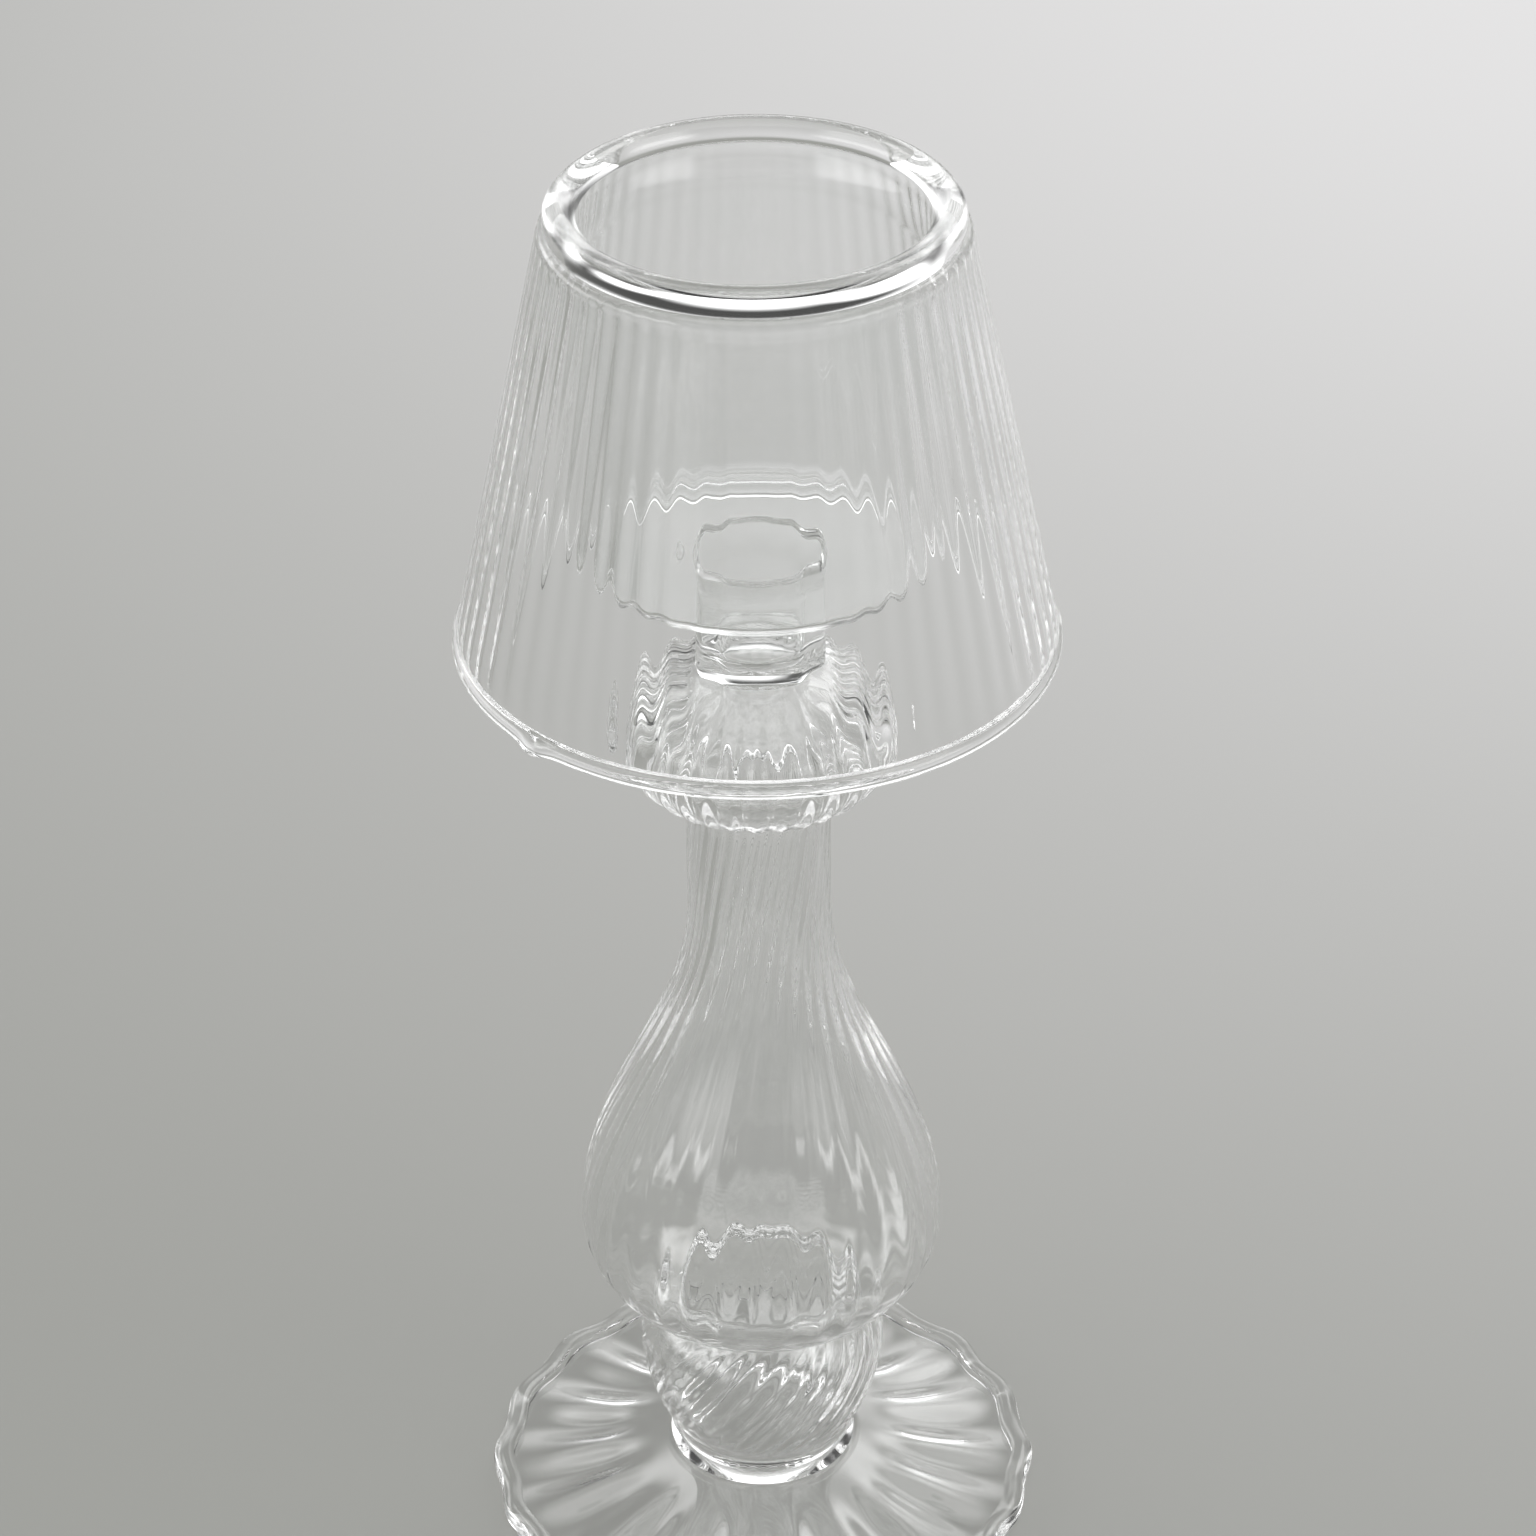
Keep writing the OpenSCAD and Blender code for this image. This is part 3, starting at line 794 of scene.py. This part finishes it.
def seat_height(radius):
    """Height of the lip's underside at a radius."""
    cup = settings().cup
    out = radius - lip_middle()
    return lip_height() - (cup.lip_seat + out * math.sin(cup.lip_tilt)) / math.cos(cup.lip_tilt)


def flare(start, end, t):
    """Radius on the cup's flare, from start at t = 0 to end at t = 1."""
    return end + (start - end) * (1 + math.cos(math.pi * t)) / 2


class HOLDER_OT_candle_cup(GlassOperator, Operator):
    """Add the plain cup that holds the tea light"""
    bl_idname = "tea_light_holder.candle_cup"
    bl_label = "Candle cup"

    def execute(self, context):
        cup = settings().cup
        low = low_z("candle_cup")
        outer = cup.bore + cup.wall
        top_in, top_out, _, _ = lip_seats()
        flare_z = high_z("candle_cup") - cup.flare
        out_rise = seat_height(top_out) - cup.lip_gap - flare_z
        in_rise = seat_height(top_in) - cup.lip_gap - flare_z
        floor_z = low + cup.floor
        inner_corner = cup.corner - cup.wall
        stem_out = reach("stem")
        stem_in = stem_out - settings().knob.stem_wall
        section = [(0.0, low), (stem_in, low), (stem_out, low)]
        section += [(outer - cup.corner * (1 - math.sin(a)), low + cup.corner * (1 - math.cos(a)))
                    for a in spread(0, math.pi / 2, 20)]
        section += [(outer, z) for z in spread(low + cup.corner, flare_z, 16)[1:-1]]
        section += [(flare(outer, top_out, t), flare_z + out_rise * t)
                    for t in spread(0, 1, 20)]
        section += [(flare(cup.bore, top_in, t), flare_z + in_rise * t)
                    for t in spread(1, 0, 20)]
        section += [(cup.bore, z) for z in spread(flare_z, floor_z + inner_corner, 16)[1:-1]]
        section += [(cup.bore - inner_corner * (1 - math.cos(a)),
                     floor_z + inner_corner * (1 - math.sin(a)))
                    for a in spread(0, math.pi / 2, 16)]
        section += [(0.0, floor_z)]
        piece = draw_section("candle_cup_glass", [(r, z, 0.0) for r, z in section], closed=False)
        spin(piece, 384)
        mark_joints(piece, [(low, low, stem_in, stem_out)])
        finish_piece(piece, "candle_cup", drawn_glass())
        return {"FINISHED"}


class HOLDER_OT_rolled_lip(GlassOperator, Operator):
    """Add the thick rolled lip"""
    bl_idname = "tea_light_holder.rolled_lip"
    bl_label = "Rolled lip"

    def execute(self, context):
        cup = settings().cup
        centre, height = lip_middle(), lip_height()
        section = []
        for angle in spread(*lip_ends(), 96):
            section.append((centre + cup.lip_bead * math.cos(angle),
                            height + cup.lip_bead * math.sin(angle), 0.0))
        _, top_out, shade_in, _ = lip_seats()
        section += [(top_out, seat_height(top_out), 0.0), (shade_in, seat_height(shade_in), 0.0)]
        piece = draw_section("rolled_lip_glass", section, closed=True)
        spin(piece, 512)
        finish_piece(piece, "rolled_lip", polished_glass())
        return {"FINISHED"}


class HOLDER_OT_shade_cone(GlassOperator, Operator):
    """Add the straight-ribbed cone of the shade"""
    bl_idname = "tea_light_holder.shade_cone"
    bl_label = "Shade cone"

    def execute(self, context):
        shade = settings().shade
        low, cone_top = low_z("shade_cone"), high_z("shade_cone") - shade.shoulder
        _, _, top_in, top_out = lip_seats()
        high_in, high_out = (seat_height(r) - settings().cup.lip_gap for r in (top_in, top_out))
        out = shade.top - top_out
        outside = [(shade.base + (shade.top - shade.base) * t, low + (cone_top - low) * t)
                   for t in spread(0, 1, 40)]
        outside += [(top_out + out * math.cos(a), cone_top + (high_out - cone_top) * math.sin(a))
                    for a in spread(0, math.pi / 2, 12)[1:]]
        inner_top = shade.top - shade.wall
        inner_high = cone_top - shade.wall
        inside = [(top_in + (inner_top - top_in) * math.sin(a),
                   inner_high + (high_in - inner_high) * math.cos(a))
                  for a in spread(0, math.pi / 2, 12)]
        inside += [(inner_top + (shade.base - shade.wall - inner_top) * t,
                    inner_high + (low - inner_high) * t) for t in spread(0, 1, 32)[1:]]
        piece = blown_piece("shade_cone_glass", outside, inside, (shade.fade, shade.fade),
                            shade.ribs * 16, ribbed_inside=shade.rib_inside)
        press_ribs(piece, shade.ribs, shade.rib_depth, ([low, cone_top], [shade.rib_start] * 2))
        mark_joints(piece, [(low, low, shade.base - shade.wall, shade.base)])
        finish_piece(piece, "shade_cone", drawn_glass())
        return {"FINISHED"}


class HOLDER_OT_shade_edge(GlassOperator, Operator):
    """Add the fire-polished bead round the bottom of the shade, with its drop"""
    bl_idname = "tea_light_holder.shade_edge"
    bl_label = "Shade edge"

    def execute(self, context):
        shade = settings().shade
        low, high = low_z("shade_cone"), low_z("shade_cone")
        inner = shade.base - shade.wall
        centre = (inner + shade.base) / 2
        half = shade.wall / 2
        sink = math.sqrt(shade.bead ** 2 - half ** 2)
        start = math.atan2(sink, half)
        section = []
        for angle in spread(start, -math.pi - start, 48):
            section.append((centre + shade.bead * math.cos(angle),
                            high - sink + shade.bead * math.sin(angle), 0.0))
        piece = draw_section("shade_edge_glass", section, closed=True)
        spin(piece, 768)
        self.pull_drop(piece, centre, high)
        mark_joints(piece, [(high, high, inner, shade.base)])
        finish_piece(piece, "shade_edge", polished_glass())
        return {"FINISHED"}

    def pull_drop(self, piece, centre, seat):
        """Pulls the small drop out of the bead, outwards and down."""
        shade = settings().shade
        points = read_points(piece)
        angle = np.arctan2(points[:, 1], points[:, 0]) - shade.drop_place
        along = centre * np.arctan2(np.sin(angle), np.cos(angle))
        below = np.clip((seat - points[:, 2]) / shade.bead, 0, 1)
        pull = shade.drop * np.exp(-(along / shade.drop_width) ** 2) * below
        points[:, 0] += pull * 0.6 * math.cos(shade.drop_place)
        points[:, 1] += pull * 0.6 * math.sin(shade.drop_place)
        points[:, 2] -= pull * 0.35
        write_points(piece, points)


def floor_material():
    """Pale table top with a painted pool of light behind the holder, darker away from it as painted
    shade.
    """
    look = settings().stage
    material = new_material("Pale table")
    nodes, links = material.node_tree.nodes, material.node_tree.links
    place = nodes.new("ShaderNodeTexCoord")
    away = nodes.new("ShaderNodeVectorMath")
    away.operation = "DISTANCE"
    away.inputs[1].default_value = (look.pool_x, look.pool_y, -look.floor_gap)
    links.new(place.outputs["Object"], away.inputs[0])
    pool = nodes.new("ShaderNodeMapRange")
    pool.interpolation_type = "SMOOTHSTEP"
    pool.inputs["From Min"].default_value = look.pool_outside
    pool.inputs["From Max"].default_value = look.pool_inside
    links.new(away.outputs["Value"], pool.inputs["Value"])
    # Painted light: the colour runs from the dark grey, painted shade away from the pool, to the light
    # grey of the painted pool of light.
    tone = nodes.new("ShaderNodeMix")
    tone.data_type = "RGBA"
    tone.inputs["A"].default_value = (*look.painted_shade_grey, 1.0)
    tone.inputs["B"].default_value = (*look.painted_pool_grey, 1.0)
    links.new(pool.outputs["Result"], tone.inputs["Factor"])
    shaded = nodes.new("ShaderNodeBsdfDiffuse")
    plain = nodes.new("ShaderNodeEmission")
    links.new(tone.outputs["Result"], shaded.inputs["Color"])
    links.new(tone.outputs["Result"], plain.inputs["Color"])
    # Camera, glossy and transmission rays see three quarters of the painted tone as emission, and the
    # diffuse quarter keeps the holder's shadow.
    path = nodes.new("ShaderNodeLightPath")
    seen = nodes.new("ShaderNodeMath")
    seen.operation = "MAXIMUM"
    links.new(path.outputs["Is Camera Ray"], seen.inputs[0])
    links.new(path.outputs["Is Glossy Ray"], seen.inputs[1])
    through = nodes.new("ShaderNodeMath")
    through.operation = "MAXIMUM"
    links.new(seen.outputs["Value"], through.inputs[0])
    links.new(path.outputs["Is Transmission Ray"], through.inputs[1])
    part = nodes.new("ShaderNodeMath")
    part.operation = "MULTIPLY"
    part.inputs[1].default_value = 0.75
    links.new(through.outputs["Value"], part.inputs[0])
    both = nodes.new("ShaderNodeMixShader")
    links.new(part.outputs["Value"], both.inputs["Fac"])
    links.new(shaded.outputs["BSDF"], both.inputs[1])
    links.new(plain.outputs["Emission"], both.inputs[2])
    output = nodes.new("ShaderNodeOutputMaterial")
    links.new(both.outputs["Shader"], output.inputs["Surface"])
    return material


def add_floor():
    """Adds the table top."""
    look = settings().stage
    to_object_mode()
    bpy.ops.mesh.primitive_circle_add(vertices=128, radius=look.floor_radius, fill_type="NGON",
                                      location=(0, 0, -look.floor_gap))
    floor = bpy.context.object
    floor.name = "Table"
    bpy.ops.object.transform_apply(location=True, rotation=True, scale=True)
    floor.data.materials.append(floor_material())


def window_group():
    """Node group: a soft-edged window on the studio's wall, from a direction's two angles."""
    group = bpy.data.node_groups.new("Window", "ShaderNodeTree")
    for socket in ("Azimuth", "Elevation", "Middle", "Half Width", "Height", "Half Height", "Edge"):
        group.interface.new_socket(socket, in_out="INPUT", socket_type="NodeSocketFloat")
    group.interface.new_socket("Mask", in_out="OUTPUT", socket_type="NodeSocketFloat")
    nodes, links = group.nodes, group.links
    entry = nodes.new("NodeGroupInput")
    leave = nodes.new("NodeGroupOutput")

    def math_node(operation, first, second):
        node = nodes.new("ShaderNodeMath")
        node.operation = operation
        links.new(first, node.inputs[0])
        links.new(second, node.inputs[1])
        return node

    def inside(off, half):
        away = nodes.new("ShaderNodeMath")
        away.operation = "ABSOLUTE"
        links.new(off, away.inputs[0])
        outer = math_node("ADD", entry.outputs[half], entry.outputs["Edge"])
        inner = math_node("SUBTRACT", entry.outputs[half], entry.outputs["Edge"])
        mask = nodes.new("ShaderNodeMapRange")
        mask.interpolation_type = "SMOOTHSTEP"
        links.new(away.outputs["Value"], mask.inputs["Value"])
        links.new(outer.outputs["Value"], mask.inputs["From Min"])
        links.new(inner.outputs["Value"], mask.inputs["From Max"])
        return mask.outputs["Result"]

    sideways = math_node("SUBTRACT", entry.outputs["Azimuth"], entry.outputs["Middle"])
    wrapped = nodes.new("ShaderNodeMath")
    wrapped.operation = "WRAP"
    wrapped.inputs[1].default_value = math.pi
    wrapped.inputs[2].default_value = -math.pi
    links.new(sideways.outputs["Value"], wrapped.inputs[0])
    upward = math_node("SUBTRACT", entry.outputs["Elevation"], entry.outputs["Height"])
    both = math_node("MULTIPLY", inside(wrapped.outputs["Value"], "Half Width"),
                     inside(upward.outputs["Value"], "Half Height"))
    links.new(both.outputs["Value"], leave.inputs["Mask"])
    return group


def hang_window(tree, angles, below, middle, half_width, height, half_height, level):
    """Adds a window to the world's nodes, over the level below, and gives the new level.

    Angles are in degrees. A middle of 0 is straight behind the holder, 90 to its right.
    """
    window = tree.nodes.new("ShaderNodeGroup")
    window.node_tree = bpy.data.node_groups["Window"]
    tree.links.new(angles[0], window.inputs["Azimuth"])
    tree.links.new(angles[1], window.inputs["Elevation"])
    for socket, angle in (("Middle", middle), ("Half Width", half_width), ("Height", height),
                          ("Half Height", half_height)):
        window.inputs[socket].default_value = math.radians(angle)
    window.inputs["Edge"].default_value = settings().stage.soft_edge
    mix = tree.nodes.new("ShaderNodeMix")
    mix.inputs["B"].default_value = level
    tree.links.new(window.outputs["Mask"], mix.inputs["Factor"])
    tree.links.new(below, mix.inputs["A"])
    return mix.outputs["Result"]


def add_world():
    """Studio with dark walls, a light ceiling, and five large soft windows.

    Past the table's edge the camera sees the table's dark grey, the painted shade of its light pool,
    and the glass sees the walls.
    """
    look = settings().stage
    world = bpy.data.worlds.new("Studio")
    bpy.context.scene.world = world
    world.use_nodes = True
    tree = world.node_tree
    nodes, links = tree.nodes, tree.links
    nodes.clear()
    place = nodes.new("ShaderNodeTexCoord")
    parts = nodes.new("ShaderNodeSeparateXYZ")
    links.new(place.outputs["Generated"], parts.inputs["Vector"])
    azimuth = nodes.new("ShaderNodeMath")
    azimuth.operation = "ARCTAN2"
    links.new(parts.outputs["X"], azimuth.inputs[0])
    links.new(parts.outputs["Y"], azimuth.inputs[1])
    elevation = nodes.new("ShaderNodeMath")
    elevation.operation = "ARCSINE"
    links.new(parts.outputs["Z"], elevation.inputs[0])
    angles = (azimuth.outputs["Value"], elevation.outputs["Value"])
    ceiling = nodes.new("ShaderNodeMapRange")
    ceiling.interpolation_type = "SMOOTHSTEP"
    ceiling.inputs["From Min"].default_value = look.ceiling_start - look.soft_edge
    ceiling.inputs["From Max"].default_value = look.ceiling_start + look.soft_edge
    ceiling.inputs["To Min"].default_value = look.wall_level
    ceiling.inputs["To Max"].default_value = look.ceiling_level
    links.new(elevation.outputs["Value"], ceiling.inputs["Value"])
    window_group()
    level = ceiling.outputs["Result"]
    level = hang_window(tree, angles, level, -87, 53, 16.5, 8, 4.1)
    level = hang_window(tree, angles, level, 40, 18, 45, 11, 4.1)
    level = hang_window(tree, angles, level, 120, 21, 21, 11, 3.6)
    level = hang_window(tree, angles, level, 9, 22, 18, 13.5, 1.8)
    level = hang_window(tree, angles, level, -44, 9, 53, 13, 3.4)
    path = nodes.new("ShaderNodeLightPath")
    # Camera rays see the table's dark grey here, the painted shade of its light pool.
    shown = nodes.new("ShaderNodeMix")
    shown.data_type = "RGBA"
    shown.inputs["B"].default_value = (*look.painted_shade_grey, 1.0)
    links.new(path.outputs["Is Camera Ray"], shown.inputs["Factor"])
    links.new(level, shown.inputs["A"])
    back = nodes.new("ShaderNodeBackground")
    links.new(shown.outputs["Result"], back.inputs["Color"])
    back.inputs["Strength"].default_value = 1.0
    output = nodes.new("ShaderNodeOutputWorld")
    links.new(back.outputs["Background"], output.inputs["Surface"])


def add_camera():
    """Adds the camera at the photograph's viewing angle."""
    look = settings().stage
    back = -look.distance * math.cos(look.elevation)
    up = look.aim + look.distance * math.sin(look.elevation)
    bpy.ops.object.camera_add()
    camera = bpy.context.object
    camera.name = "Camera"
    camera.data.sensor_width = look.sensor * 1000
    camera.data.lens = look.lens * 1000
    camera.data.shift_x = look.shift
    camera.data.clip_start, camera.data.clip_end = 0.01, 20.0
    tilt = Matrix.Rotation(math.pi / 2 - look.elevation, 4, "X")
    roll = Matrix.Rotation(look.roll, 4, "Z")
    camera.matrix_world = Matrix.Translation((0, back, up)) @ tilt @ roll
    bpy.context.scene.camera = camera


class HOLDER_OT_stage(Operator):
    """Add the table, the lamps and the camera"""
    bl_idname = "tea_light_holder.stage"
    bl_label = "Stage"
    bl_options = {"REGISTER", "UNDO"}

    def execute(self, context):
        add_floor()
        add_world()
        add_camera()
        scene = context.scene
        scene.view_settings.view_transform = "Standard"
        scene.cycles.max_bounces = 128
        scene.cycles.transmission_bounces = 128
        scene.cycles.glossy_bounces = 128
        scene.cycles.transparent_max_bounces = 128
        return {"FINISHED"}


class HolderSettings(PropertyGroup):
    """All sizes and colours of the holder and its stage."""
    foot: PointerProperty(type=FootSizes, name="Foot")
    baluster: PointerProperty(type=BalusterSizes, name="Baluster")
    knob: PointerProperty(type=KnobSizes, name="Knob")
    cup: PointerProperty(type=CupSizes, name="Cup")
    shade: PointerProperty(type=ShadeSizes, name="Shade")
    glass: PointerProperty(type=GlassLook, name="Glass")
    stage: PointerProperty(type=StageLook, name="Stage")


PIECES = (HOLDER_OT_foot_rim, HOLDER_OT_foot_disc, HOLDER_OT_seal_ring, HOLDER_OT_lower_bulb,
          HOLDER_OT_pear_body, HOLDER_OT_knob, HOLDER_OT_stem, HOLDER_OT_candle_cup,
          HOLDER_OT_rolled_lip, HOLDER_OT_shade_cone, HOLDER_OT_shade_edge)


class HOLDER_PT_sidebar(Panel):
    """Buttons for each piece, and the sizes they use"""
    bl_label = "Tea light holder"
    bl_idname = "HOLDER_PT_sidebar"
    bl_space_type = "VIEW_3D"
    bl_region_type = "UI"
    bl_category = "Tea light holder"

    def draw(self, context):
        for operator in PIECES + (HOLDER_OT_stage,):
            self.layout.operator(operator.bl_idname)
        for group in HolderSettings.__annotations__:
            box = self.layout.box()
            box.label(text=group.capitalize())
            sizes = getattr(settings(), group)
            for name in type(sizes).__annotations__:
                box.prop(sizes, name)


CLASSES = (FootSizes, BalusterSizes, KnobSizes, CupSizes, ShadeSizes, GlassLook, StageLook,
           HolderSettings, *PIECES, HOLDER_OT_stage, HOLDER_PT_sidebar)


def register():
    """Registers the classes and hangs the settings on the scene."""
    for cls in CLASSES:
        bpy.utils.register_class(cls)
    bpy.types.Scene.tea_light_holder = PointerProperty(type=HolderSettings)


def unregister():
    """Undoes register."""
    del bpy.types.Scene.tea_light_holder
    for cls in reversed(CLASSES):
        bpy.utils.unregister_class(cls)


def main():
    """Builds the stage and every piece."""
    register()
    bpy.ops.tea_light_holder.stage()
    for operator in PIECES:
        group, name = operator.bl_idname.split(".")
        getattr(getattr(bpy.ops, group), name)()


if __name__ == "__main__":
    main()
